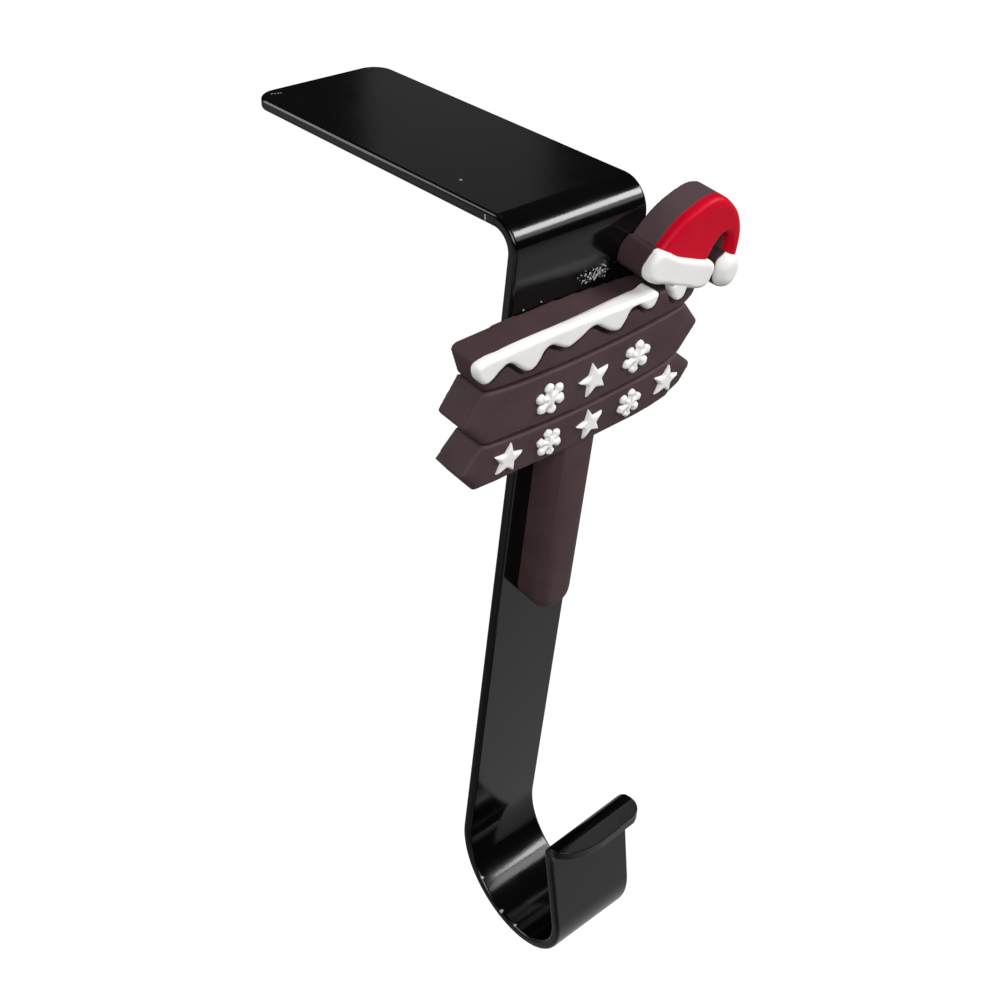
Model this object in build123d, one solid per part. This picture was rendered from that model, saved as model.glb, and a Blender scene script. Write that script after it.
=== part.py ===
# Mantel stocking holder: a bent steel strip that lies over a mantel's edge, with a moulded signpost in front.
# Millimetres, +Z up. The room is towards -Y. The origin is the middle of the pad's resting face.
import os
from math import cos, radians, sin, tan

from build123d import *

# Pad under the plate
pad_thickness = 1.0
pad_length = 54.0
pad_inset = 2.5
pad_corner = 2.5

# Steel strip: a plate on the mantel, a shank down its front, a J hook and a flared lip
strip_thickness = 2.0
plate_width = 26.0
plate_length = 64.4
plate_corner = 3.9
bend_inner_radius = 3.0
shank_lean = 6.0
shank_length = 133.5
shank_width = 16.3
shoulder_drop = 17.0
shoulder_height = 13.0
shoulder_round = 5.0
hook_inner_radius = 12.8
hook_turn = 194.0
leg_length = 16.2
lip_inner_radius = 2.4
lip_turn = 105.0
lip_length = 4.0
lip_corner = 6.0
strip_edge_break = 0.3

# Signboards, drawn from the middle board's centre and tilted a little on the shank
sign_drop = 23.0
sign_shift = -1.3
sign_tilt = 2.2
board_thickness = 6.4
board_arris = 0.8
board_half_length = 20.5
board_point = 3.6
middle_board_height = 9.0
lower_board_height = 8.2
lower_board_flare = 0.8
top_board_left_height = 6.6
top_board_right_height = 3.9
top_board_flare = 1.8
top_board_crown = 1.1

# Post below the boards
post_width = 7.8
post_thickness = 6.0
post_shift = 1.1
post_end_drop = 72.0
post_end_round = 3.6
post_arris = 2.6

# Snow over the top board's front edge. Its points and patch are measured from the groove under that board.
snow_proud = 0.4
snow_depth = 2.2
snow_arris = 0.3
snow_round = 0.6
drip_first = 0.4
drip_pitch = 8.0
drip_count = 5
short_drip = 2.2
long_drip = 1.25
drip_valley = 4.4
patch_inset = 4.7
patch_width = 3.5
patch_tip = 1.4

# Santa hat at the top board's right end, drawn from the middle of its brim
hat_inset = 2.9
hat_rise = 3.4
hat_tilt = -24.0
hat_arris = 0.7
cap_height = 12.1
brim_half_length = 8.2
brim_half_height = 2.25
brim_sag = 0.6
brim_round = 1.35
brim_proud = 0.6
pompom_radius = 3.0
pompom_gap = 0.6
pompom_rise = 1.2
pompom_proud = 0.8
pompom_arris = 2.0

bend_turn = 90.0 + shank_lean
bend_setback = bend_inner_radius * tan(radians(bend_turn / 2))
corner_y = pad_length / 2 + pad_inset - plate_length
shank_corner = Vector(0, corner_y, pad_thickness)
shank_down = Vector(0, sin(radians(shank_lean)), -cos(radians(shank_lean)))
shank_front = Vector(0, -cos(radians(shank_lean)), -sin(radians(shank_lean)))


def strip_side(shift):
    # One face of the strip from the side, offset from mid-thickness. A positive shift is towards the mantel.
    plate_z = pad_thickness + strip_thickness / 2 - shift
    plate = Line((corner_y + plate_length, plate_z), (corner_y + bend_setback, plate_z))
    bend = JernArc(plate @ 1, plate % 1, bend_inner_radius + strip_thickness / 2 - shift, bend_turn)
    shank = Line(bend @ 1, bend @ 1 + (bend % 1) * (shank_length - bend_setback))
    hook = JernArc(shank @ 1, shank % 1, hook_inner_radius + strip_thickness / 2 + shift, -hook_turn)
    leg = Line(hook @ 1, hook @ 1 + (hook % 1) * leg_length)
    lip_bend = JernArc(leg @ 1, leg % 1, lip_inner_radius + strip_thickness / 2 - shift, lip_turn)
    lip = Line(lip_bend @ 1, lip_bend @ 1 + (lip_bend % 1) * lip_length)
    return [plate, bend, shank, hook, leg, lip_bend, lip]


def hook_strip():
    mantel_side = strip_side(strip_thickness / 2)
    room_side = strip_side(-strip_thickness / 2)
    rear_end = Line(mantel_side[0] @ 0, room_side[0] @ 0)
    lip_end = Line(mantel_side[-1] @ 1, room_side[-1] @ 1)
    profile = make_face(mantel_side + room_side + [rear_end, lip_end])
    strip = extrude(Plane.YZ * profile, plate_width / 2, both=True)

    # The blank narrows at its shoulders and stays narrow round the hook to the lip.
    below_hook = shank_length + plate_width
    waste_points = [
        (plate_width / 2, -shoulder_drop),
        (shank_width / 2, -shoulder_drop - shoulder_height),
        (shank_width / 2, -below_hook),
        (plate_width, -below_hook),
        (plate_width, -shoulder_drop),
    ]
    waste = make_face(Polyline(*waste_points, close=True))
    shank_plane = Plane(shank_corner, x_dir=(1, 0, 0), z_dir=shank_front)
    for side in (waste, mirror(waste, Plane.YZ)):
        strip -= extrude(shank_plane * side, plate_length, both=True)

    rear_corners = strip.edges().filter_by(Axis.Z).group_by(Axis.Y)[-1]
    strip = fillet(rear_corners, plate_corner)
    shoulders = strip.edges().filter_by(Axis((0, 0, 0), shank_front))
    strip = fillet(shoulders, shoulder_round)
    lip_heading = radians(lip_turn - hook_turn - 90 + shank_lean)
    lip_normal = Vector(0, -sin(lip_heading), cos(lip_heading))
    lip_corners = strip.edges().filter_by(Axis((0, 0, 0), lip_normal))
    strip = fillet(lip_corners, lip_corner)
    return chamfer(strip.edges(), strip_edge_break)


def grip_pad():
    pad_width = plate_width - 2 * pad_inset
    return extrude(RectangleRounded(pad_width, pad_length, pad_corner), pad_thickness)


upper_groove = middle_board_height / 2
lower_groove = -middle_board_height / 2
lower_edge = lower_groove - lower_board_height
top_left = Vector(-board_half_length - top_board_flare, upper_groove + top_board_left_height)
top_right = Vector(board_half_length + top_board_flare, upper_groove + top_board_right_height)
top_middle = (top_left + top_right) / 2 + Vector(0, top_board_crown)

sign_origin = shank_corner + shank_down * sign_drop + shank_front * strip_thickness + Vector(sign_shift, 0, 0)
upright_plane = Plane(sign_origin, x_dir=(1, 0, 0), z_dir=shank_front)
sign_plane = Plane(upright_plane.location * Rot(Z=sign_tilt))
hat_place = Pos(board_half_length - hat_inset, top_right.Y + hat_rise)
hat_plane = Plane(sign_plane.location * hat_place * Rot(Z=hat_tilt - sign_tilt))


def cushion(outline, plane, front, arris, back=0.0, ease=chamfer):
    # A flat moulded form on the shank's front, from one depth to another, with its front arris eased.
    form = Pos(0, 0, back) * extrude(outline, front - back, dir=(0, 0, 1))
    front_face = form.faces().sort_by(Axis.Z)[-1]
    return plane * ease(front_face.edges(), arris)


def pointed_board(top, bottom, bottom_half_length):
    tip = (board_half_length + board_point, (top + bottom) / 2)
    right = [(bottom_half_length, bottom), tip, (board_half_length, top)]
    left = [(-x, y) for x, y in reversed(right)]
    outline = make_face(Polyline(*right, *left, close=True))
    return cushion(outline, sign_plane, board_thickness, board_arris)


def top_outline():
    foot_left = (-board_half_length, upper_groove)
    foot_right = (board_half_length, upper_groove)
    sides = Polyline(top_left, foot_left, foot_right, top_right)
    crown = ThreePointArc(top_right, top_middle, top_left)
    return make_face([sides, crown])


def post():
    length = post_end_drop - sign_drop
    outline = Pos(post_shift, -length / 2) * Rectangle(post_width, length)
    outline = fillet(outline.vertices().group_by(Axis.Y)[0], post_end_round)
    return cushion(outline, upright_plane, post_thickness, post_arris, ease=fillet)


def snow(outline):
    front = board_thickness + snow_proud
    return cushion(outline, sign_plane, front, snow_arris, board_thickness - snow_depth)


def snow_drift():
    # The lower edge hangs in points. The upper edge and the left end stand a little proud of the board.
    above = top_left.Y + top_board_left_height
    first_x = drip_first - board_half_length
    points = [(2 * top_left.X, above), (2 * top_left.X, upper_groove + short_drip)]
    for count in range(drip_count):
        tip_x = first_x + count * drip_pitch
        points.append((tip_x, upper_groove + (long_drip if count % 2 else short_drip)))
        points.append((tip_x + drip_pitch / 2, upper_groove + drip_valley))
    points[-1] = (tip_x + drip_pitch / 2, above)
    fringe = make_face(Polyline(*points, close=True))
    fringe = fillet(fringe.vertices(), snow_round)
    return snow(fringe & offset(top_outline(), snow_proud, kind=Kind.INTERSECTION))


def snow_patch():
    left = board_half_length - patch_inset
    corners = [
        (left, upper_groove + drip_valley),
        (left + patch_width / 2, upper_groove + patch_tip),
        (left + patch_width, upper_groove + drip_valley),
    ]
    outline = make_face(Polyline(*corners, close=True))
    return snow(fillet(outline.vertices(), snow_round))


def hat_cap():
    # The cap flops to the right, and its narrow end turns down to the pompom past an open notch.
    def at(across, up):
        return (across * brim_half_length, up * cap_height)

    foot = Polyline(at(-0.95, 0), at(0.78, 0), at(0.8, 0.42))
    notch = ThreePointArc(at(0.8, 0.42), at(0.95, 0.55), at(1.1, 0.43))
    tip = Polyline(at(1.1, 0.43), at(1.18, 0.12), at(1.52, 0.12))
    outer = Spline(
        at(1.52, 0.12),
        at(1.38, 0.48),
        at(1.08, 0.79),
        at(0.64, 0.97),
        at(0.12, 1),
        at(-0.37, 0.78),
        at(-0.74, 0.44),
        at(-0.95, 0),
    )
    return cushion(make_face([foot, notch, tip, outer]), hat_plane, board_thickness, hat_arris)


def hat_brim():
    upper = ThreePointArc(
        (brim_half_length, brim_half_height),
        (0, brim_half_height - brim_sag),
        (-brim_half_length, brim_half_height),
    )
    lower = ThreePointArc(
        (-brim_half_length, -brim_half_height),
        (0, -brim_half_height - brim_sag),
        (brim_half_length, -brim_half_height),
    )
    outline = make_face([upper, Line(upper @ 1, lower @ 0), lower, Line(lower @ 1, upper @ 0)])
    outline = fillet(outline.vertices(), brim_round)
    return cushion(outline, hat_plane, board_thickness + brim_proud, hat_arris)


def hat_pompom():
    outline = Pos(brim_half_length + pompom_gap + pompom_radius, pompom_rise) * Circle(pompom_radius)
    return cushion(outline, hat_plane, board_thickness + pompom_proud, pompom_arris, ease=fillet)


def sign_moulding():
    # The boards, post, snow and hat are one moulding that is glued to the shank.
    moulding = cushion(top_outline(), sign_plane, board_thickness, board_arris)
    moulding += pointed_board(upper_groove, lower_groove, board_half_length)
    moulding += pointed_board(lower_groove, lower_edge, board_half_length + lower_board_flare)
    moulding += post()
    moulding += snow_drift()
    moulding += snow_patch()
    moulding += hat_cap()
    moulding += hat_brim()
    moulding += hat_pompom()
    return moulding.clean()


parts = {
    "hook_strip": hook_strip(),
    "sign_moulding": sign_moulding(),
    "grip_pad": grip_pad(),
}

os.makedirs("parts", exist_ok=True)
for name, shape in parts.items():
    shape.label = name
    export_step(shape, f"parts/{name}.step")
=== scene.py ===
import random
from math import cos, pi, radians, sin, sqrt, tan

import bpy
from mathutils import Matrix, Vector


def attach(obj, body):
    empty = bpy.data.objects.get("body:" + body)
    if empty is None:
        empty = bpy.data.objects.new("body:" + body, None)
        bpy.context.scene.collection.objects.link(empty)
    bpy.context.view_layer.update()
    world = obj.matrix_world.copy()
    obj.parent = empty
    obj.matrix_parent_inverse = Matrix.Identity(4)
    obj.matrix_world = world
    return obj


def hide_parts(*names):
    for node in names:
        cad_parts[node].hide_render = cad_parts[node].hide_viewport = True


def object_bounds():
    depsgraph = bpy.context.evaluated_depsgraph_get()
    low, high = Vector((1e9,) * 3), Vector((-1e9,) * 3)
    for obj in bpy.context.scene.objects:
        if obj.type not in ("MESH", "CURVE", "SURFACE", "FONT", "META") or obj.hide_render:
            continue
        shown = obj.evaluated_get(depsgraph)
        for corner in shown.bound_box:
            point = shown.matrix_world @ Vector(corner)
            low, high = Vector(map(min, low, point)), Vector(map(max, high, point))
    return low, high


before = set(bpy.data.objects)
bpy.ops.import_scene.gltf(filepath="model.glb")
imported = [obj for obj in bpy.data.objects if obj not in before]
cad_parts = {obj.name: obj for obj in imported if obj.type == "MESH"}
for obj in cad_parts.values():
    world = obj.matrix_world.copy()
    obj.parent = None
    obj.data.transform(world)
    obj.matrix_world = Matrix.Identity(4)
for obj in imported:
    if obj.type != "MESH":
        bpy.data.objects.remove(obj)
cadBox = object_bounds()
mm = 0.001
print("frame loaded:", ", ".join(sorted(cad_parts)))

# how near, in millimetres, a point has to be
onLine = 0.1  # to lie on a fold or an edge
onFace = 0.01  # to lie on a flat face
sameSpot = 0.02  # to be merged with the next one


def selectOnly(obj):
    bpy.ops.object.select_all(action="DESELECT")
    obj.select_set(True)
    bpy.context.view_layer.objects.active = obj


def editAll(obj):
    selectOnly(obj)
    bpy.ops.object.mode_set(mode="EDIT")
    bpy.ops.mesh.select_all(action="SELECT")


def leaveEdit():
    bpy.ops.object.mode_set(mode="OBJECT")


def editNone(obj, kind):
    # edit mode for vertices or edges, with nothing selected
    editAll(obj)
    bpy.ops.mesh.select_mode(type=kind)
    bpy.ops.mesh.select_all(action="DESELECT")


def editVerts(obj, test):
    # goes into edit mode with only the vertices that pass the test, which is given millimetres
    editNone(obj, "VERT")
    leaveEdit()
    for vertex in obj.data.vertices:
        vertex.select = test(vertex.co / mm)
    bpy.ops.object.mode_set(mode="EDIT")


def editEdges(obj, test):
    # the same for edges, and the test is given both ends
    editNone(obj, "EDGE")
    leaveEdit()
    spots = [vertex.co / mm for vertex in obj.data.vertices]
    for edge in obj.data.edges:
        edge.select = test(*(spots[i] for i in edge.vertices))
    bpy.ops.object.mode_set(mode="EDIT")


def addModifier(obj, kind, **settings):
    selectOnly(obj)
    bpy.ops.object.modifier_add(type=kind)
    modifier = obj.modifiers[-1]
    for key, value in settings.items():
        setattr(modifier, key, value)
    bpy.ops.object.modifier_apply(modifier=modifier.name)


def settle(obj, place):
    # puts a piece that was drawn flat in its place, and the place into the mesh
    selectOnly(obj)
    obj.matrix_world = place
    bpy.ops.object.transform_apply(location=True, rotation=True, scale=True)


def copyAt(source, place):
    copy = source.copy()
    copy.data = source.data.copy()
    bpy.context.scene.collection.objects.link(copy)
    settle(copy, place @ source.matrix_world)
    return copy


def joinAll(name, pieces):
    bpy.ops.object.select_all(action="DESELECT")
    for piece in pieces:
        piece.select_set(True)
    bpy.context.view_layer.objects.active = pieces[0]
    bpy.ops.object.join()
    pieces[0].name = name
    return pieces[0]


def softMould(obj, grain, passes):
    # one skin over all the joined forms, with every edge eased as in soft moulded PVC
    addModifier(obj, "REMESH", mode="VOXEL", voxel_size=grain * mm)
    addModifier(obj, "SMOOTH", factor=0.5, iterations=passes)
    selectOnly(obj)
    bpy.ops.object.shade_smooth()


# Steel strip, bent from one blank. Millimetres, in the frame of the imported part

strip = {
    "thickness": 2.0,
    "padHeight": 1.0,
    "cornerY": -34.9,  # where the plate's underside and the shank's back would meet
    "plateWidth": 26.0,
    "plateLength": 64.4,
    "plateCorner": 3.9,
    "cornerSteps": 10,
    "bendRadius": 3.0,
    "bendSteps": 24,
    "lean": 6.0,
    "shankLength": 131.3,
    "shankWidth": 16.3,
    "shankEndWidth": 16.8,
    "shoulderDrop": 17.0,
    "shoulderHeight": 13.0,
    "shoulderEase": 0.9,
    "hookRadius": 13.1,
    "hookTurn": 190.2,
    "hookSteps": 64,
    "hookWidth": 18.2,
    "hookSkew": 2.2,  # the hook was bent a little out of square, so its far side is higher
    "legLength": 17.5,
    "lipRadius": 1.6,
    "lipTurn": 99.0,
    "lipLength": 3.05,
    "lipSteps": 10,
    "lipSkew": 3.6,  # the lip's fold rises to the far side
    "lipNearCut": (9.5, 4.6),  # across and along
    "lipFarCut": (3.2, 3.0),
    "lipReach": (3.0, 8.0),  # how far behind and below the leg's end the lip's points are looked for
    "sharpTurn": 40.0,  # a fold sharper than this is an arris
    "edgeRound": 0.6,
    "edgeSteps": 4,
    "lipEdges": [(0.3, 0.35), (2.0, 0.25), (3.6, 0.2)],  # past the leg's end, and how much less round from there
}

leanTurn = radians(strip["lean"])
shankDown = Vector((0, sin(leanTurn), -cos(leanTurn)))
shankFront = Vector((0, -cos(leanTurn), -sin(leanTurn)))
shankCorner = Vector((0, strip["cornerY"], strip["padHeight"]))


def bendBlank():
    # pulls the end face along the whole strip, from the plate's rear edge to the lip
    thick = strip["thickness"]
    setback = strip["bendRadius"] * tan(radians(90 + strip["lean"]) / 2)
    spot = Vector((0, strip["cornerY"] + strip["plateLength"], strip["padHeight"] + thick / 2))
    heading = Vector((0, -1, 0))
    bpy.ops.object.select_all(action="DESELECT")
    bpy.ops.mesh.primitive_plane_add(size=1, location=spot * mm, rotation=(pi / 2, 0, 0))
    blank = bpy.context.object
    blank.name = "hookStrip"
    blank.scale = (strip["plateWidth"] * mm, thick * mm, 1)
    bpy.ops.object.transform_apply(location=True, rotation=True, scale=True)
    editAll(blank)

    def run(length, narrow=1.0):
        # pulls the end face straight on, and makes it narrower
        nonlocal spot
        bpy.ops.mesh.extrude_region_move(TRANSFORM_OT_translate={"value": heading * length * mm})
        spot = spot + heading * length
        bpy.ops.transform.resize(value=(narrow, 1, 1), center_override=spot * mm)

    def turn(angle, radius, steps):
        # spins the end face about the bend's middle, to the mantel's side if the angle is positive
        nonlocal spot, heading
        side = Vector((0, -heading.z, heading.y)) * (radius + thick / 2) * (1 if angle > 0 else -1)
        middle = spot + side
        bpy.ops.mesh.spin(steps=steps, angle=-radians(angle), center=middle * mm, axis=(1, 0, 0))
        swing = Matrix.Rotation(radians(angle), 3, "X")
        spot = middle - swing @ side
        heading = swing @ heading

    def moveAside(distance):
        nonlocal spot
        aside = Vector((distance, 0, 0))
        bpy.ops.transform.translate(value=aside * mm)
        spot = spot + aside

    def runOff(length):
        # past a skewed bend the strip runs off to one side
        moveAside(-tan(radians(strip["hookSkew"])) * length)

    run(strip["plateLength"] - setback)
    turn(90 + strip["lean"], strip["bendRadius"], strip["bendSteps"])
    run(strip["shoulderDrop"] - setback)
    run(strip["shoulderHeight"], strip["shankWidth"] / strip["plateWidth"])
    narrowed = strip["shankLength"] - strip["shoulderDrop"] - strip["shoulderHeight"]
    run(narrowed, strip["shankEndWidth"] / strip["shankWidth"])

    # the hook gets wider towards its leg
    steps = strip["hookSteps"]
    widen = (strip["hookWidth"] / strip["shankEndWidth"]) ** (1 / steps)
    for step in range(steps):
        turn(-strip["hookTurn"] / steps, strip["hookRadius"], 1)
        bpy.ops.transform.resize(value=(widen, 1, 1), center_override=spot * mm)
        runOff((strip["hookRadius"] + thick / 2) * radians(strip["hookTurn"]) / steps)
    run(strip["legLength"])
    runOff(strip["legLength"])
    legEnd, legHeading = spot.copy(), heading.copy()

    # the lip's end is cut round, so the end face gets narrower in small steps through bend and lip
    half, steps = strip["hookWidth"] / 2, strip["lipSteps"]
    sides = (-half, half)

    def cutBack(cut, left):
        # how far the cut is in from the strip's edge at this distance before its end
        across, length = cut
        return across * (1 - sqrt(1 - (1 - min(left, length) / length) ** 2))

    def narrowTo(left):
        nonlocal sides
        wanted = (cutBack(strip["lipNearCut"], left) - half, half - cutBack(strip["lipFarCut"], left))
        share = (wanted[1] - wanted[0]) / (sides[1] - sides[0])
        bpy.ops.transform.resize(value=(share, 1, 1), center_override=spot * mm)
        moveAside(legEnd.x + sum(wanted) / 2 - spot.x)
        sides = wanted

    bendLength = (strip["lipRadius"] + thick / 2) * radians(strip["lipTurn"])
    for step in range(1, steps + 1):
        turn(strip["lipTurn"] / steps, strip["lipRadius"], 1)
        narrowTo(strip["lipLength"] + bendLength * (1 - step / steps))
    gone = 0.0
    for step in range(1, steps):
        reached = strip["lipLength"] * sin(step / steps * pi / 2)
        run(reached - gone)
        narrowTo(strip["lipLength"] - reached)
        gone = reached
    bpy.ops.mesh.select_all(action="SELECT")
    bpy.ops.mesh.normals_make_consistent(inside=False)
    leaveEdit()
    return blank, legEnd, legHeading


def roundCorners(blank):
    rear = strip["cornerY"] + strip["plateLength"]
    halfThick = strip["thickness"] / 2
    editEdges(blank, lambda a, b: min(a.y, b.y) > rear - onLine and abs(a.z - b.z) > halfThick)
    bpy.ops.mesh.bevel(offset=strip["plateCorner"] * mm, segments=strip["cornerSteps"], affect="EDGES")
    leaveEdit()
    shoulders = (strip["shoulderDrop"], strip["shoulderDrop"] + strip["shoulderHeight"])

    def onShoulder(a, b):
        along = [(end - shankCorner).dot(shankDown) for end in (a, b)]
        level = any(all(abs(down - drop) < onLine for down in along) for drop in shoulders)
        return level and abs(a.x - b.x) < onFace

    editEdges(blank, onShoulder)
    bpy.ops.mesh.bevel(offset=strip["shoulderEase"] * mm, segments=strip["edgeSteps"], affect="EDGES")
    leaveEdit()


def roundArrises(blank, legEnd, legHeading):
    # every arris is rounded, on the lip's small steps less than elsewhere
    editNone(blank, "EDGE")
    bpy.ops.mesh.edges_select_sharp(sharpness=radians(strip["sharpTurn"]))
    bpy.ops.transform.edge_bevelweight(value=1)
    leaveEdit()
    behind, below = strip["lipReach"]

    def nearLip(spot):
        return spot.y < legEnd.y + behind and spot.z > legEnd.z - below

    def upLeg(spot):
        return (spot - legEnd).dot(legHeading)

    def pastLeg(spot):
        return upLeg(spot) + legEnd.y - spot.y

    for start, less in strip["lipEdges"]:
        editEdges(blank, lambda *ends: all(nearLip(end) and pastLeg(end) > start for end in ends))
        bpy.ops.transform.edge_bevelweight(value=-less)
        leaveEdit()

    # lip and hook are then turned out of square
    nearCorner = legEnd - Vector((strip["hookWidth"] / 2, 0, 0))
    editVerts(blank, lambda spot: nearLip(spot) and upLeg(spot) > -onLine)
    bpy.ops.transform.rotate(value=radians(strip["lipSkew"]), orient_axis="Y", center_override=nearCorner * mm)
    leaveEdit()
    bottom = shankCorner + shankDown * strip["shankLength"]

    def inHook(spot):
        onLeg = spot.y < bottom.y - strip["hookRadius"] and spot.z < bottom.z / 2
        return onLeg or (spot - bottom).dot(shankDown) > -onLine

    editVerts(blank, inHook)
    bpy.ops.transform.rotate(value=radians(strip["hookSkew"]), orient_axis="Y", center_override=bottom * mm)
    leaveEdit()
    addModifier(blank, "BEVEL", width=strip["edgeRound"] * mm, segments=strip["edgeSteps"],
                limit_method="WEIGHT", use_clamp_overlap=False, loop_slide=False)
    selectOnly(blank)
    bpy.ops.object.shade_smooth()
    addModifier(blank, "WEIGHTED_NORMAL", weight=50)


hookStrip, legEnd, legHeading = bendBlank()
roundCorners(hookStrip)
roundArrises(hookStrip, legEnd, legHeading)
print("strip bent:", len(hookStrip.data.polygons), "faces")


# Soft PVC sign: flat forms drawn as outlines, filled, pulled forward and eased

curveSteps = 10  # from one corner of an outline to the next
straightTurn = 0.5  # degrees, and a corner that turns less is dropped


def drawSlab(name, corners, back, front, arris, steps=4):
    # a corner is (right, up, handle), in millimetres on the sign's own plane
    bpy.ops.object.select_all(action="DESELECT")
    bpy.ops.curve.primitive_bezier_circle_add(radius=mm)
    drawn = bpy.context.object
    points = drawn.data.splines[0].bezier_points
    points.add(len(corners) - len(points))
    for point, (right, up, handle) in zip(points, corners):
        point.handle_left_type = handle
        point.handle_right_type = handle
        point.co = Vector((right, up, back)) * mm
    drawn.data.resolution_u = curveSteps
    bpy.ops.object.convert(target="MESH")
    slab = bpy.context.object
    slab.name = name
    editAll(slab)
    bpy.ops.mesh.remove_doubles(threshold=sameSpot * mm)
    bpy.ops.mesh.dissolve_limited(angle_limit=radians(straightTurn))
    bpy.ops.mesh.edge_face_add()
    bpy.ops.mesh.extrude_region_move(TRANSFORM_OT_translate={"value": (0, 0, (front - back) * mm)})
    if arris:
        bpy.ops.mesh.bevel(offset=arris * mm, segments=steps, affect="EDGES", clamp_overlap=False)
    bpy.ops.mesh.select_all(action="SELECT")
    bpy.ops.mesh.normals_make_consistent(inside=False)
    leaveEdit()
    return slab


def straight(*spots):
    return [(right, up, "VECTOR") for right, up in spots]


def curved(*spots):
    return [(right, up, "AUTO") for right, up in spots]


sign = {
    "drop": 23.0,
    "shift": -1.3,
    "tilt": 2.2,
    "thickness": 6.4,
    "halfLength": 20.5,
    "stations": (-14, -7, 0, 7, 14),  # where a line along the boards is drawn through
    # the boards sag a little, as if drawn by hand: height, sag and middle of each line
    "upperSlit": (4.15, 1.15, 0),
    "lowerSlit": (-5.55, 1.3, 1),
    "lowerEdge": (-12.65, 0.8, 4),
    # height, fall to the right, rise in the middle and half length of the top board's upper edge
    "crown": (9.75, 1.35, 1.1, 22.3),
    # ends of the boards, in order round each
    "topLeft": [(-21.3, 11.05), (-21.95, 10.75), (-22.05, 10.1), (-20.6, 5.6)],
    "topRight": [(19.9, 5.35), (21.2, 6.2), (21.9, 8.2)],
    "middleLeft": [(-24.0, 0.3), (-20.3, -4.0)],
    "middleRight": [(20.0, -3.9), (23.5, 0.6), (20.0, 5.1)],
    "middleCorner": (-20.6, 5.3),
    "lowerLeft": [(-24.1, -8.4), (-21.3, -12.2)],
    "lowerRight": [(19.4, -11.7), (21.6, -10.7), (23.7, -7.6), (20.0, -4.2)],
    "lowerCorner": (-20.3, -4.4),
    "slit": 0.32,  # half the slit between two boards
    "backing": 3.2,  # behind the slits the boards are one
    "backingCorners": [(-19.4, -11.4), (18.5, -10.8), (19.2, 7.6), (-19.6, 10.4)],
    "endArris": 2.0,
    "endsFrom": 19.2,
    "longArris": 0.14,  # as a share of the arris at the ends
    "arrisSteps": 6,
    "grain": 0.25,
    "passes": 7,
    "sharpTurn": 40.0,
}

signSpot = shankCorner + shankDown * sign["drop"] + shankFront * strip["thickness"] + Vector((sign["shift"], 0, 0))
facing = Matrix((Vector((1, 0, 0)), -shankDown, shankFront)).transposed().to_4x4()
upright = Matrix.Translation(signSpot * mm) @ facing
signPlace = upright @ Matrix.Rotation(radians(sign["tilt"]), 4, "Z")


def sagging(line):
    height, sag, middle = sign[line]
    return lambda right: height + sag * ((right - middle) / sign["halfLength"]) ** 2


def crown(right):
    height, fall, rise, half = sign["crown"]
    share = right / half
    return height - fall * share + rise * (1 - share ** 2)


def follow(line, shift, stations):
    return curved(*((right, line(right) + shift) for right in stations))


def makeBoards():
    slit, toRight = sign["slit"], sign["stations"]
    toLeft = toRight[::-1]
    upperSlit, lowerSlit, lowerEdge = sagging("upperSlit"), sagging("lowerSlit"), sagging("lowerEdge")
    top = straight(*sign["topLeft"]) + follow(upperSlit, slit, toRight)
    top += straight(*sign["topRight"]) + follow(crown, 0, toLeft)
    middle = straight(*sign["middleLeft"]) + follow(lowerSlit, slit, toRight)
    middle += straight(*sign["middleRight"]) + follow(upperSlit, -slit, toLeft) + straight(sign["middleCorner"])
    lower = straight(*sign["lowerLeft"]) + follow(lowerEdge, 0, toRight)
    lower += straight(*sign["lowerRight"]) + follow(lowerSlit, -slit, toLeft) + straight(sign["lowerCorner"])
    slabs = []
    for outline in (top, middle, lower):
        slab = drawSlab("board", outline, 0, sign["thickness"], 0)
        easeBoard(slab)
        slabs.append(slab)
    return slabs + [drawSlab("backing", straight(*sign["backingCorners"]), 0, sign["backing"], 0)]


def easeBoard(slab):
    # the front arris is rounder at the ends than along the board, and all other edges are just eased
    front, ends = sign["thickness"] - onFace, sign["endsFrom"]
    for weight, atEnds in ((1.0, True), (sign["longArris"], False)):
        editEdges(slab, lambda a, b: min(a.z, b.z) > front and (min(abs(a.x), abs(b.x)) > ends) == atEnds)
        bpy.ops.transform.edge_bevelweight(value=weight)
        leaveEdit()
    addModifier(slab, "BEVEL", width=sign["endArris"] * mm, segments=sign["arrisSteps"],
                limit_method="WEIGHT", use_clamp_overlap=False)
    softMould(slab, sign["grain"], sign["passes"])


post = {
    "width": 7.8,
    "thickness": 6.0,
    "shift": 1.1,
    "endDrop": 72.0,
    "endRound": 3.6,
    "endSteps": 12,
    "arris": 2.4,
    "arrisSteps": 6,
}


def makePost():
    foot = sign["drop"] - post["endDrop"]
    half, radius, steps = post["width"] / 2, post["endRound"], post["endSteps"]
    arc = []
    for step in range(steps + 1):
        angle = pi + step / steps * pi
        side = half - radius if step > steps / 2 else radius - half
        arc.append((post["shift"] + side + radius * cos(angle), foot + radius + radius * sin(angle)))
    outline = straight((post["shift"] + half, 0), (post["shift"] - half, 0), *arc)
    return drawSlab("post", outline, 0, post["thickness"], post["arris"], post["arrisSteps"])


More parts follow.
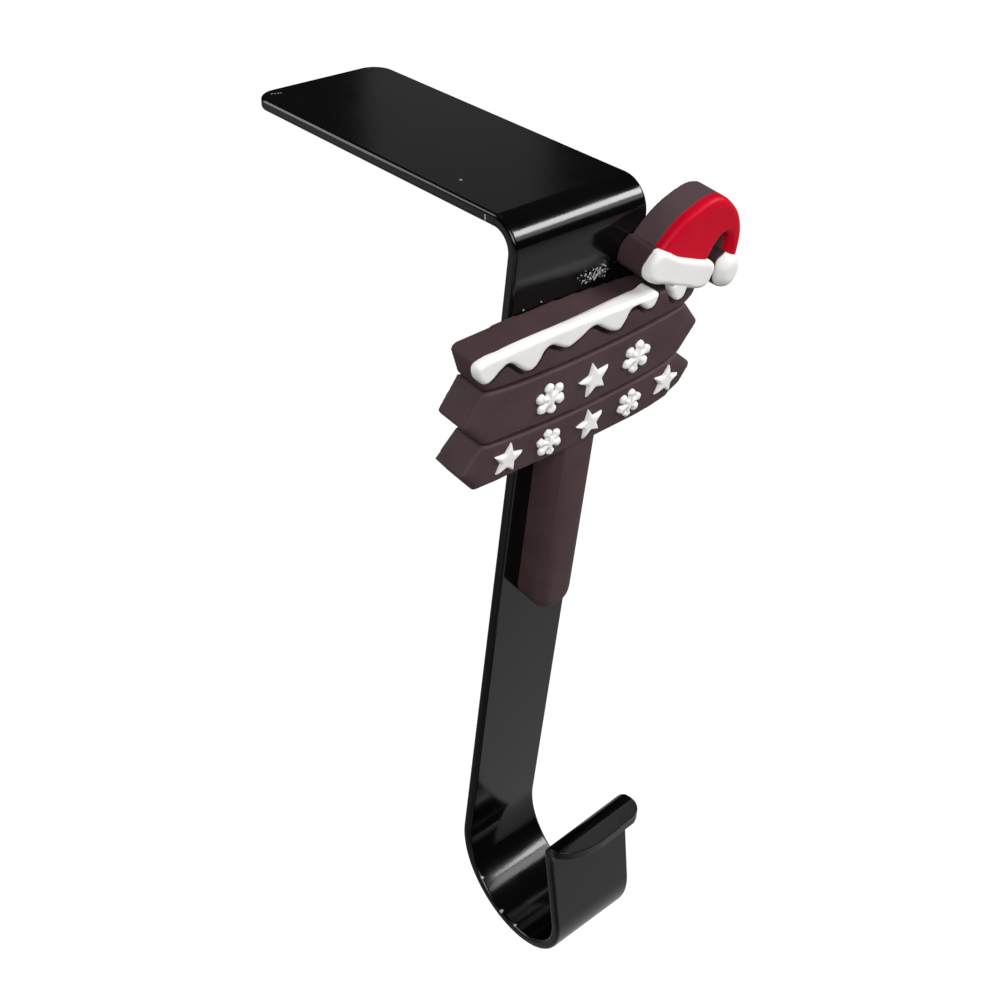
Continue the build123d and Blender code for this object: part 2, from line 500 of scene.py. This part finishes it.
snow = {
    "proud": 0.25,
    "back": 5.4,
    "front": 6.95,
    "arris": 0.7,
    "slant": -11.5,  # towards its right end the drift lies further back on the board's top
    "slantFrom": 2.0,
    "fringe": [
        (-22.7, 9.3), (-22.0, 8.2), (-21.2, 7.5), (-20.0, 7.6), (-18.5, 8.7), (-17.1, 9.3), (-16.0, 8.8),
        (-14.4, 7.3), (-13.0, 6.4), (-11.9, 6.6), (-10.9, 7.6), (-10.1, 8.8), (-9.2, 9.2), (-7.3, 8.3),
        (-5.6, 7.5), (-4.3, 7.8), (-2.8, 8.4), (-1.5, 9.1), (-0.3, 9.2), (1.4, 8.1), (3.2, 6.9), (4.7, 6.5),
        (5.9, 7.7), (6.9, 9.3), (8.1, 9.7), (9.3, 8.8), (10.7, 7.8), (11.7, 8.0), (12.4, 9.2), (12.5, 10.1),
    ],
    "topStations": (10, 3, -4, -11, -18),
    "leftEnd": [(-22.1, 11.0), (-22.75, 10.6)],
    "patch": [(15.6, 10.2), (15.8, 8.4), (16.3, 7.5), (17.2, 7.1), (18.1, 7.4), (18.6, 8.5), (18.9, 9.6)],
    "patchBack": 5.0,
    "patchFront": 6.85,
    "patchArris": 0.4,
    "grain": 0.14,
    "passes": 4,
    "gap": 0.7,  # width of the groove round the snow
    "gapDrop": 0.25,  # how far the groove stays below the board's top
    "gapGrain": 0.28,
    "gapPasses": 3,
}


def snowDrift(proud):
    outline = curved(*snow["fringe"]) + follow(crown, proud, snow["topStations"])
    outline += curved(*((right, up + proud) for right, up in snow["leftEnd"]))
    drift = drawSlab("snowDrift", outline, snow["back"], snow["front"], snow["arris"])
    start = snow["slantFrom"]
    editVerts(drift, lambda spot: spot.z < snow["back"] + onFace and spot.x > start)
    pivot = Vector((start, 0, snow["back"])) * mm
    bpy.ops.transform.rotate(value=radians(snow["slant"]), orient_axis="Y", center_override=pivot)
    leaveEdit()
    return drift


def snowPatch():
    outline = curved(*snow["patch"])
    return drawSlab("snowPatch", outline, snow["patchBack"], snow["patchFront"], snow["patchArris"])


def carveGroove(board, field):
    # the narrow groove that the mould leaves round a field of another colour
    softMould(field, snow["gapGrain"], snow["gapPasses"])
    editAll(field)
    bpy.ops.transform.shrink_fatten(value=snow["gap"] * mm)
    leaveEdit()
    addModifier(board, "BOOLEAN", operation="DIFFERENCE", solver="EXACT", use_self=True, object=field)
    bpy.data.objects.remove(field)
    editAll(board)
    bpy.ops.mesh.remove_doubles(threshold=sameSpot * mm)
    bpy.ops.mesh.dissolve_degenerate(threshold=onFace * mm)
    leaveEdit()


drift, patch = snowDrift(snow["proud"]), snowPatch()
for field in (drift, patch):
    softMould(field, snow["grain"], snow["passes"])
boards = makeBoards()
carveGroove(boards[0], snowDrift(-snow["gap"] - snow["gapDrop"]))
carveGroove(boards[0], snowPatch())
for slab in boards:
    settle(slab, signPlace)
stake = makePost()
settle(stake, upright)
signBody = joinAll("signBody", boards + [stake])
selectOnly(signBody)
bpy.ops.object.shade_smooth_by_angle(angle=radians(sign["sharpTurn"]))
for field in (drift, patch):
    settle(field, signPlace)
snowField = joinAll("snowField", [drift, patch])
print("boards, post and snow moulded:", len(signBody.data.polygons), len(snowField.data.polygons), "faces")


# Red hat with a white brim and pompom, drawn from the middle of its brim

hat = {
    "right": 17.6,
    "up": 11.8,
    "tilt": -24.0,
    "arris": 0.95,
    "capFoot": [(-7.79, 0), (4.92, 0)],
    "capNotch": [(4.9, 3.2), (5.2, 5.6), (6.2, 7.0), (7.8, 6.6), (9.2, 4.8)],
    "capTip": [(10.3, 1.6), (12.2, 1.6)],
    "capBack": [(11.07, 5.808), (8.692, 9.438), (5.084, 11.616), (0.984, 12.1), (-3.034, 9.438), (-6.068, 5.324)],
    "brim": [
        (5.4, -2.2), (6.8, -1.5), (7.2, 0.2), (6.9, 1.9), (5.6, 2.5), (2, 2.4), (-3, 2.2), (-7.4, 2.4),
        (-8.3, 1.7), (-8.3, -1.6), (-7.4, -2.4), (-3, -2.55), (2, -2.45),
    ],
    "brimFront": 7.0,
    "pompomSize": (2.6, 3.15),
    "pompomSpot": (11.2, 1.5),
    "pompomFront": 7.2,
    "pompomArris": 2.0,
    "pompomSteps": 8,
    "pompomArrisSteps": 6,
    "grain": 0.17,
    "passes": 5,
}
hatPlace = signPlace @ Matrix.Translation(Vector((hat["right"], hat["up"], 0)) * mm)
hatPlace = hatPlace @ Matrix.Rotation(radians(hat["tilt"] - sign["tilt"]), 4, "Z")


def makeCap():
    outline = straight(*hat["capFoot"]) + curved(*hat["capNotch"])
    outline += straight(*hat["capTip"]) + curved(*hat["capBack"])
    return drawSlab("hatCap", outline, 0, sign["thickness"], hat["arris"])


def makeBrim():
    return drawSlab("hatBrim", curved(*hat["brim"]), 0, hat["brimFront"], hat["arris"])


def makePompom():
    # an oval that stands upright although the hat is tilted
    turned = Matrix.Rotation(radians(-hat["tilt"]), 2)
    halfWide, halfHigh = hat["pompomSize"]
    outline = []
    for step in range(hat["pompomSteps"]):
        angle = step / hat["pompomSteps"] * 2 * pi
        outline.append(turned @ Vector((halfWide * cos(angle), halfHigh * sin(angle))) + Vector(hat["pompomSpot"]))
    return drawSlab("hatPompom", curved(*outline), 0, hat["pompomFront"], hat["pompomArris"], hat["pompomArrisSteps"])


hatCap, hatBrim, hatPompom = makeCap(), makeBrim(), makePompom()
for form in (hatCap, hatBrim, hatPompom):
    softMould(form, hat["grain"], hat["passes"])
    settle(form, hatPlace)
hatFur = joinAll("hatFur", [hatBrim, hatPompom])
print("hat moulded:", len(hatCap.data.polygons), len(hatFur.data.polygons), "faces")


# Raised white ornaments on the two lower boards, plain snowflakes and stars

ornament = {
    "stroke": 1.1,
    "arms": 6,
    "armRadius": 3.3,
    "branchAt": 1.8,
    "branchReach": 1.45,
    "branchTurn": 60.0,
    "flakeLift": 0.1,
    "starPoints": 5,
    "starRadius": 3.2,
    "starInner": 1.5,
    "starSink": 0.5,
    "starArris": 0.4,
    "front": 7.0,
    "twist": 11,  # one is turned to the left and the next to the right
    "grain": 0.14,
    "passes": 3,
    # right, up and size of each
    "flakes": [(-8.0, -0.6, 1.05), (9.6, -0.3, 1.05), (-7.4, -9.0, 0.92), (9.4, -9.0, 0.92)],
    "stars": [(0.8, -0.8, 1.0), (-15.6, -8.4, 0.92), (1.0, -9.2, 0.9), (17.2, -8.0, 0.9)],
}


def roundBar(length):
    # a ball pulled out to a bar with round ends
    half = ornament["stroke"] / 2
    bpy.ops.object.select_all(action="DESELECT")
    bpy.ops.mesh.primitive_uv_sphere_add(segments=16, ring_count=9, radius=half * mm)
    bar = bpy.context.object
    editVerts(bar, lambda spot: spot.x > onFace)
    bpy.ops.transform.translate(value=((length - 2 * half) * mm, 0, 0))
    leaveEdit()
    return bar


def snowflake():
    arm = roundBar(ornament["armRadius"])
    branch = roundBar(ornament["branchReach"])
    fork = Matrix.Translation((ornament["branchAt"] * mm, 0, 0))
    apart = 2 * pi / ornament["arms"]
    bars = []
    for count in range(ornament["arms"]):
        turned = Matrix.Rotation(count * apart + apart / 2, 4, "Z")
        bars.append(copyAt(arm, turned))
        for side in (1, -1):
            bent = Matrix.Rotation(side * radians(ornament["branchTurn"]), 4, "Z")
            bars.append(copyAt(branch, turned @ fork @ bent))
    bpy.data.objects.remove(arm)
    bpy.data.objects.remove(branch)
    flake = joinAll("snowflake", bars)
    settle(flake, Matrix.Translation((0, 0, (sign["thickness"] + ornament["flakeLift"]) * mm)))
    return flake


def star():
    corners = []
    for count in range(2 * ornament["starPoints"]):
        angle = pi / 2 + count * pi / ornament["starPoints"]
        reach = ornament["starInner"] if count % 2 else ornament["starRadius"]
        corners.append((reach * cos(angle), reach * sin(angle)))
    back = sign["thickness"] - ornament["starSink"]
    return drawSlab("star", straight(*corners), back, ornament["front"], ornament["starArris"])


flake, fiveStar = snowflake(), star()
for form in (flake, fiveStar):
    softMould(form, ornament["grain"], ornament["passes"])
raised = []
for form, spots in ((flake, ornament["flakes"]), (fiveStar, ornament["stars"])):
    for count, (right, up, size) in enumerate(spots):
        place = signPlace @ Matrix.Translation((right * mm, up * mm, 0)) @ Matrix.Diagonal((size, size, 1, 1))
        twist = radians(ornament["twist"] * (-1) ** count)
        raised.append(copyAt(form, place @ Matrix.Rotation(twist, 4, "Z")))
    bpy.data.objects.remove(form)
boardRelief = joinAll("boardRelief", raised)
print("ornaments moulded:", len(boardRelief.data.polygons), "faces")


# Dried glue left on the paint where the sign was pressed on

glue = {
    "seed": 7,
    "count": 150,
    "spot": (3.6, 10.2),  # right, and down the shank
    "spread": (1.35, 0.65),
    "strays": [(-10.4, 11.9), (-7.0, 11.6), (7.9, 7.6), (8.4, 8.0)],
    "size": (0.04, 0.15),  # of the smallest crumb, and how much larger the largest is
    "stretch": (0.7, 1.6),
    "height": 0.45,
    "foot": (1.15, 1.15, 0.3),  # a crumb is wider and flatter where it sticks
    "footFrom": -0.2,
    "tones": ("#6c6c6e", "#c2c2c0"),
    "speckle": 0.6,
}


def gluePatch():
    random.seed(glue["seed"])
    bpy.ops.object.select_all(action="DESELECT")
    bpy.ops.mesh.primitive_ico_sphere_add(subdivisions=2, radius=mm)
    crumb = bpy.context.object
    editVerts(crumb, lambda spot: spot.z < glue["footFrom"])
    bpy.ops.transform.resize(value=glue["foot"], center_override=(0, 0, 0))
    leaveEdit()
    spots = []
    for _ in range(glue["count"]):
        spots.append(tuple(random.gauss(middle, spread) for middle, spread in zip(glue["spot"], glue["spread"])))
    smallest, larger = glue["size"]
    crumbs = []
    for right, down in spots + glue["strays"]:
        size = smallest + larger * random.random() ** 2
        turned = Matrix.Rotation(random.uniform(0, 2 * pi), 4, "Z")
        shape = Matrix.Diagonal((size * random.uniform(*glue["stretch"]), size, size * glue["height"], 1))
        spot = shankCorner + shankDown * down + shankFront * strip["thickness"] + Vector((right, 0, 0))
        stand = upright.copy()
        stand.translation = spot * mm
        crumbs.append(copyAt(crumb, stand @ turned @ shape))
    bpy.data.objects.remove(crumb)
    return joinAll("driedGlue", crumbs)


driedGlue = gluePatch()
selectOnly(driedGlue)
bpy.ops.object.shade_smooth()
print("glue:", len(driedGlue.data.polygons), "faces")


# Materials

def toLinear(hexColour):
    parts = [int(hexColour[i:i + 2], 16) / 255 for i in (1, 3, 5)]
    return tuple(c / 12.92 if c <= 0.04045 else ((c + 0.055) / 1.055) ** 2.4 for c in parts) + (1.0,)


def addNode(tree, kind, inputs=None, **settings):
    node = tree.nodes.new(kind)
    for key, value in settings.items():
        setattr(node, key, value)
    for key, value in (inputs or {}).items():
        if isinstance(value, bpy.types.NodeSocket):
            tree.links.new(value, node.inputs[key])
        else:
            node.inputs[key].default_value = value
    return node


def newMaterial(name, **values):
    material = bpy.data.materials.new(name)
    material.use_nodes = True
    tree = material.node_tree
    shader = tree.nodes["Principled BSDF"]
    for key, value in values.items():
        shader.inputs[key.replace("_", " ")].default_value = value
    where = addNode(tree, "ShaderNodeTexCoord").outputs["Object"]
    return material, tree, shader, where


def scaleFor(size):
    # the pattern's features are about this many millimetres across
    return 1 / (size * mm)


paint = {
    "peel": 0.7,  # pattern sizes in millimetres
    "haze": 9.0,
    "ragged": 0.4,
    "tones": ("#030304", "#060607"),
    "rough": (0.1, 0.15),
    "bare": "#a5a5a3",
    "bareCore": 0.6,  # share of a mark's radius that is all bare
    "stray": 0.3,  # how far the noise pulls a mark's edge
    # chips and scuffs, and a pale tick up the plate's near edge where the bend begins, all coloured as bare steel:
    # spot and radius in millimetres
    "marks": [
        ((-8.8, -19.5, 3.0), 0.3),
        ((-10.4, 27.4, 3.0), 0.2), ((-9.9, 27.25, 3.0), 0.22), ((-9.4, 27.05, 3.0), 0.2), ((-9.0, 26.9, 3.0), 0.16),
        # a pale tick up the near edge where the bend begins
        ((-13.0, -29.9, 2.2), 0.22), ((-13.0, -29.9, 1.8), 0.24), ((-13.0, -29.9, 1.4), 0.2),
        ((-8.15, -26.9, -140.8), 0.35), ((-8.6, -33.4, -144.5), 0.45), ((-8.75, -37.6, -144.55), 0.4),
    ],
}


def glossBlackPaint():
    # stoved black enamel on steel: deep black, sharp reflections, fine orange peel and a few chips and scuffs
    material, tree, shader, where = newMaterial("glossBlackPaint", IOR=1.4)
    peel = addNode(tree, "ShaderNodeTexNoise", {"Vector": where, "Scale": scaleFor(paint["peel"]),
                                                "Detail": 3.0, "Roughness": 0.55})
    bump = addNode(tree, "ShaderNodeBump", {"Height": peel.outputs["Fac"], "Strength": 0.16, "Distance": 0.03 * mm})
    haze = addNode(tree, "ShaderNodeTexNoise", {"Vector": where, "Scale": scaleFor(paint["haze"]),
                                                "Detail": 4.0, "Roughness": 0.55})
    rough = addNode(tree, "ShaderNodeMapRange", {"Value": haze.outputs["Fac"], "From Min": 0.3, "From Max": 0.7,
                                                 "To Min": paint["rough"][0], "To Max": paint["rough"][1]})
    dark, light = (toLinear(tone) for tone in paint["tones"])
    tone = addNode(tree, "ShaderNodeMix", {"Factor": haze.outputs["Fac"], "A": dark, "B": light}, data_type="RGBA")
    ragged = addNode(tree, "ShaderNodeTexNoise", {"Vector": where, "Scale": scaleFor(paint["ragged"]),
                                                  "Detail": 2.0, "Roughness": 0.55})
    strayed = addNode(tree, "ShaderNodeVectorMath", {0: ragged.outputs["Color"], 1: (paint["stray"] * mm,) * 3,
                                                     2: where}, operation="MULTIPLY_ADD")
    # the noise only adds, so each mark's middle goes half as far the same way
    halfStray = Vector((paint["stray"] / 2,) * 3)
    marked = None
    for spot, radius in paint["marks"]:
        middle = (Vector(spot) + halfStray) * mm
        apart = addNode(tree, "ShaderNodeVectorMath", {0: strayed.outputs["Vector"], 1: middle}, operation="DISTANCE")
        core = radius * paint["bareCore"]
        mark = addNode(tree, "ShaderNodeMapRange", {"Value": apart.outputs["Value"], "From Min": radius * mm,
                                                    "From Max": core * mm}).outputs["Result"]
        marked = addNode(tree, "ShaderNodeMath", {0: marked, 1: mark}, operation="MAXIMUM").outputs[0] if marked else mark
    colour = addNode(tree, "ShaderNodeMix", {"Factor": marked, "A": tone.outputs["Result"],
                                             "B": toLinear(paint["bare"])}, data_type="RGBA")
    tree.links.new(bump.outputs["Normal"], shader.inputs["Normal"])
    tree.links.new(rough.outputs["Result"], shader.inputs["Roughness"])
    tree.links.new(colour.outputs["Result"], shader.inputs["Base Color"])
    return material


pvc = {
    "brown": {"tones": ("#402f31", "#4a383a"), "rough": 0.58, "shine": 0.2},
    "white": {"tones": ("#e9e8e6", "#f2f1ef"), "rough": 0.5, "shine": 0.2},
    "red": {"tones": ("#bd0020", "#c90426"), "rough": 0.45, "shine": 0.12},
    "mottle": 7.0,  # pattern sizes in millimetres
    "pores": 0.5,
    "edgeWave": 2.4,
}
# the brown wall behind a coloured front: where the colour starts in front of the strip, how far its edge
# wavers and how soft it is. The cap's wall is given a paler brown than the boards: painted light, standing in for the
# light that falls on it
# painted light: the red cap's wall tone is paler than the boards' brown only because of the light it gets
redWallPaintedLight = {"tone": "#544447", "depth": 4.4, "waver": 0.3, "soft": 0.45}
furWall = {"tone": "#402f31", "depth": 5.4, "waver": 1.2, "soft": 0.15}


def mouldedPvc(name, look, wall=None):
    # soft PVC from a fine-grained mould: matt, a little mottled, with a weak broad shine on its eased edges
    material, tree, shader, where = newMaterial(name, Roughness=look["rough"], Specular_IOR_Level=look["shine"])
    mottle = addNode(tree, "ShaderNodeTexNoise", {"Vector": where, "Scale": scaleFor(pvc["mottle"]),
                                                  "Detail": 4.0, "Roughness": 0.55})
    spread = addNode(tree, "ShaderNodeMapRange", {"Value": mottle.outputs["Fac"], "From Min": 0.3, "From Max": 0.7})
    dark, light = (toLinear(tone) for tone in look["tones"])
    tone = addNode(tree, "ShaderNodeMix", {"Factor": spread.outputs["Result"], "A": dark, "B": light},
                   data_type="RGBA")
    pores = addNode(tree, "ShaderNodeTexNoise", {"Vector": where, "Scale": scaleFor(pvc["pores"]),
                                                 "Detail": 2.0, "Roughness": 0.55})
    bump = addNode(tree, "ShaderNodeBump", {"Height": pores.outputs["Fac"], "Strength": 0.18, "Distance": 0.03 * mm})
    if wall:
        # coloured PVC poured on the brown: the front shows the colour and the wall behind stays brown
        ahead = addNode(tree, "ShaderNodeVectorMath", {0: where, 1: shankFront}, operation="DOT_PRODUCT")
        wave = addNode(tree, "ShaderNodeTexNoise", {"Vector": where, "Scale": scaleFor(pvc["edgeWave"]),
                                                    "Detail": 1.0, "Roughness": 0.55})
        shift = addNode(tree, "ShaderNodeMath", {0: wave.outputs["Fac"], 1: wall["waver"] * mm,
                                                 2: ahead.outputs["Value"]}, operation="MULTIPLY_ADD")
        start = signSpot.dot(shankFront) + wall["depth"] + wall["waver"] / 2
        edge = addNode(tree, "ShaderNodeMapRange", {"Value": shift.outputs["Value"], "From Min": start * mm,
                                                    "From Max": (start + wall["soft"]) * mm})
        tone = addNode(tree, "ShaderNodeMix", {"Factor": edge.outputs["Result"], "A": toLinear(wall["tone"]),
                                               "B": tone.outputs["Result"]}, data_type="RGBA")
    tree.links.new(tone.outputs["Result"], shader.inputs["Base Color"])
    tree.links.new(bump.outputs["Normal"], shader.inputs["Normal"])
    return material


def crumblyGlue():
    # dried white glue: chalky and uneven
    material, tree, shader, where = newMaterial("driedGlue", Roughness=0.6)
    speckle = addNode(tree, "ShaderNodeTexNoise", {"Vector": where, "Scale": scaleFor(glue["speckle"]),
                                                   "Detail": 3.0, "Roughness": 0.55})
    dark, light = (toLinear(tone) for tone in glue["tones"])
    tone = addNode(tree, "ShaderNodeMix", {"Factor": speckle.outputs["Fac"], "A": dark, "B": light},
                   data_type="RGBA")
    tree.links.new(tone.outputs["Result"], shader.inputs["Base Color"])
    return material


foam = {"tones": ("#121213", "#29292a"), "pits": 0.9}


def blackFoam():
    # closed-cell foam: matt black with fine pits
    material, tree, shader, where = newMaterial("blackFoam", Roughness=0.85)
    pits = addNode(tree, "ShaderNodeTexVoronoi", {"Vector": where, "Scale": scaleFor(foam["pits"])})
    bump = addNode(tree, "ShaderNodeBump", {"Height": pits.outputs["Distance"], "Strength": 0.5,
                                            "Distance": 0.15 * mm})
    dark, light = (toLinear(tone) for tone in foam["tones"])
    # the tone follows the pits' depth, darker down in each pit: painted shade in the hollows
    tone = addNode(tree, "ShaderNodeMix", {"Factor": pits.outputs["Distance"], "A": dark, "B": light},
                   data_type="RGBA")
    tree.links.new(bump.outputs["Normal"], shader.inputs["Normal"])
    tree.links.new(tone.outputs["Result"], shader.inputs["Base Color"])
    return material


def dress(obj, material, node):
    obj.data.materials.clear()
    obj.data.materials.append(material)
    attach(obj, "root")
    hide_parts(node)


whitePvc = mouldedPvc("whitePvc", pvc["white"])
dress(hookStrip, glossBlackPaint(), "hook_strip")
dress(signBody, mouldedPvc("brownPvc", pvc["brown"]), "sign_moulding")
for piece in (snowField, boardRelief):
    dress(piece, whitePvc, "sign_moulding")
dress(hatFur, mouldedPvc("furPvc", pvc["white"], furWall), "sign_moulding")
dress(hatCap, mouldedPvc("redPvc", pvc["red"], redWallPaintedLight), "sign_moulding")
driedGlue.data.materials.append(crumblyGlue())
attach(driedGlue, "root")
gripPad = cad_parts["grip_pad"]
gripPad.data.materials.clear()
gripPad.data.materials.append(blackFoam())
print("materials given")


# Room: pale floor, soft lamps and the photograph's camera

stage = {
    "floorDrop": 0.30,
    "floorSize": 12.0,
    "floorColour": "#5c5c5b",
    "seenGlow": 0.95,
    "shineGlow": 0.38,
    "shineFade": (-0.2, 0.15),  # the paint's reflection of the floor fades out to the left, in metres
    "farGlow": 0.33,
    "farFade": (-0.35, -0.6),  # and comes back further off
    "skyTones": (0.008, 0.04),  # low and high
}


def makeFloor():
    lowest = cadBox[0].z - stage["floorDrop"]
    bpy.ops.object.select_all(action="DESELECT")
    bpy.ops.mesh.primitive_plane_add(size=stage["floorSize"], location=(0, 0, lowest))
    floor = bpy.context.object
    floor.name = "floor"
    # matt paper that the camera sees as white
    material, tree, shader, where = newMaterial("paleFloor", Roughness=0.9, Emission_Color=(1, 1, 1, 1))
    shader.inputs["Base Color"].default_value = toLinear(stage["floorColour"])
    path = addNode(tree, "ShaderNodeLightPath").outputs
    place = addNode(tree, "ShaderNodeSeparateXYZ", {"Vector": where})
    glows = []
    for fade, strength in (("shineFade", "shineGlow"), ("farFade", "farGlow")):
        start, end = stage[fade]
        glow = addNode(tree, "ShaderNodeMapRange", {"Value": place.outputs["X"], "From Min": start, "From Max": end,
                                                    "To Max": stage[strength]})
        glows.append(glow.outputs["Result"])
    both = addNode(tree, "ShaderNodeMath", {0: glows[0], 1: glows[1]}, operation="ADD")
    shine = addNode(tree, "ShaderNodeMath", {0: path["Is Glossy Ray"], 1: both.outputs["Value"]},
                    operation="MULTIPLY")
    seen = addNode(tree, "ShaderNodeMath", {0: path["Is Camera Ray"], 1: path["Is Transmission Ray"]},
                   operation="ADD")
    shown = addNode(tree, "ShaderNodeMath", {0: seen.outputs["Value"], 1: stage["seenGlow"],
                                             2: shine.outputs["Value"]}, operation="MULTIPLY_ADD")
    tree.links.new(shown.outputs["Value"], shader.inputs["Emission Strength"])
    floor.data.materials.append(material)


def makeSky():
    world = bpy.data.worlds.new("studio")
    bpy.context.scene.world = world
    world.use_nodes = True
    tree = world.node_tree
    where = addNode(tree, "ShaderNodeTexCoord").outputs["Generated"]
    level = addNode(tree, "ShaderNodeSeparateXYZ", {"Vector": where})
    low, high = stage["skyTones"]
    tone = addNode(tree, "ShaderNodeMapRange", {"Value": level.outputs["Z"], "From Min": 0.0, "From Max": 0.8,
                                                "To Min": low, "To Max": high})
    path = addNode(tree, "ShaderNodeLightPath").outputs
    seen = addNode(tree, "ShaderNodeMath", {0: path["Is Camera Ray"], 1: path["Is Transmission Ray"]},
                   operation="ADD")
    shown = addNode(tree, "ShaderNodeMath", {0: seen.outputs["Value"], 1: tone.outputs["Result"]},
                    operation="MAXIMUM")
    tree.links.new(shown.outputs["Value"], tree.nodes["Background"].inputs["Color"])


# direction as seen from the sign, with azimuth from its front to its right; metres and watts
lamps = {
    "keyBox": {"azimuth": 52, "elevation": 35.0, "distance": 2.2, "size": (1.45, 0.42), "power": 39.0},
    "keyTop": {"azimuth": 39, "elevation": 46.5, "distance": 2.2, "size": (0.75, 0.4), "power": 6.0},
    "keySkirt": {"azimuth": 52, "elevation": 25.0, "distance": 2.2, "size": (1.45, 0.4), "power": 4.5},
    "fillBox": {"azimuth": -48, "elevation": 30, "distance": 1.6, "size": (1.2, 0.8), "power": 20.5},
    "rimBox": {"azimuth": -148, "elevation": 20, "distance": 1.5, "size": (0.5, 1.2), "power": 8.0},
    "backCard": {"azimuth": 141.2, "elevation": 21, "distance": 1.5, "size": (0.21, 0.6), "power": 0.06},
    "lipCard": {"azimuth": 141, "elevation": 60, "distance": 1.5, "size": (0.34, 0.3), "power": 0.32},
}
camera = {
    "spot": (-0.13626, -0.17375, 0.08526),
    "azimuth": -41.567,
    "elevation": 34.7255,
    "roll": 1.548,
    "lens": 52.42,
    "sensor": 36,
    "nearest": 0.01,
}


def towards(aimed):
    azimuth, elevation = radians(aimed["azimuth"]), radians(aimed["elevation"])
    return Vector((sin(azimuth) * cos(elevation), -cos(azimuth) * cos(elevation), sin(elevation)))


def makeLamps():
    for name, lamp in lamps.items():
        toLamp = towards(lamp)
        bpy.ops.object.light_add(type="AREA", location=signSpot * mm + toLamp * lamp["distance"])
        box = bpy.context.object
        box.name = name
        box.rotation_euler = (-toLamp).to_track_quat("-Z", "Y").to_euler()
        box.data.shape = "RECTANGLE"
        box.data.size, box.data.size_y = lamp["size"]
        box.data.energy = lamp["power"]
        box.visible_camera = False


def makeCamera():
    back = towards(camera)
    azimuth = radians(camera["azimuth"])
    right = Vector((cos(azimuth), sin(azimuth), 0))
    turned = Matrix((right, back.cross(right), back)).transposed() @ Matrix.Rotation(radians(camera["roll"]), 3, "Z")
    bpy.ops.object.camera_add(location=camera["spot"], rotation=turned.to_euler())
    eye = bpy.context.object
    eye.data.lens = camera["lens"]
    eye.data.sensor_width = camera["sensor"]
    eye.data.clip_start = camera["nearest"]
    bpy.context.scene.camera = eye


makeFloor()
makeSky()
makeLamps()
makeCamera()
bpy.context.scene.view_settings.view_transform = "Standard"
print("stage set")
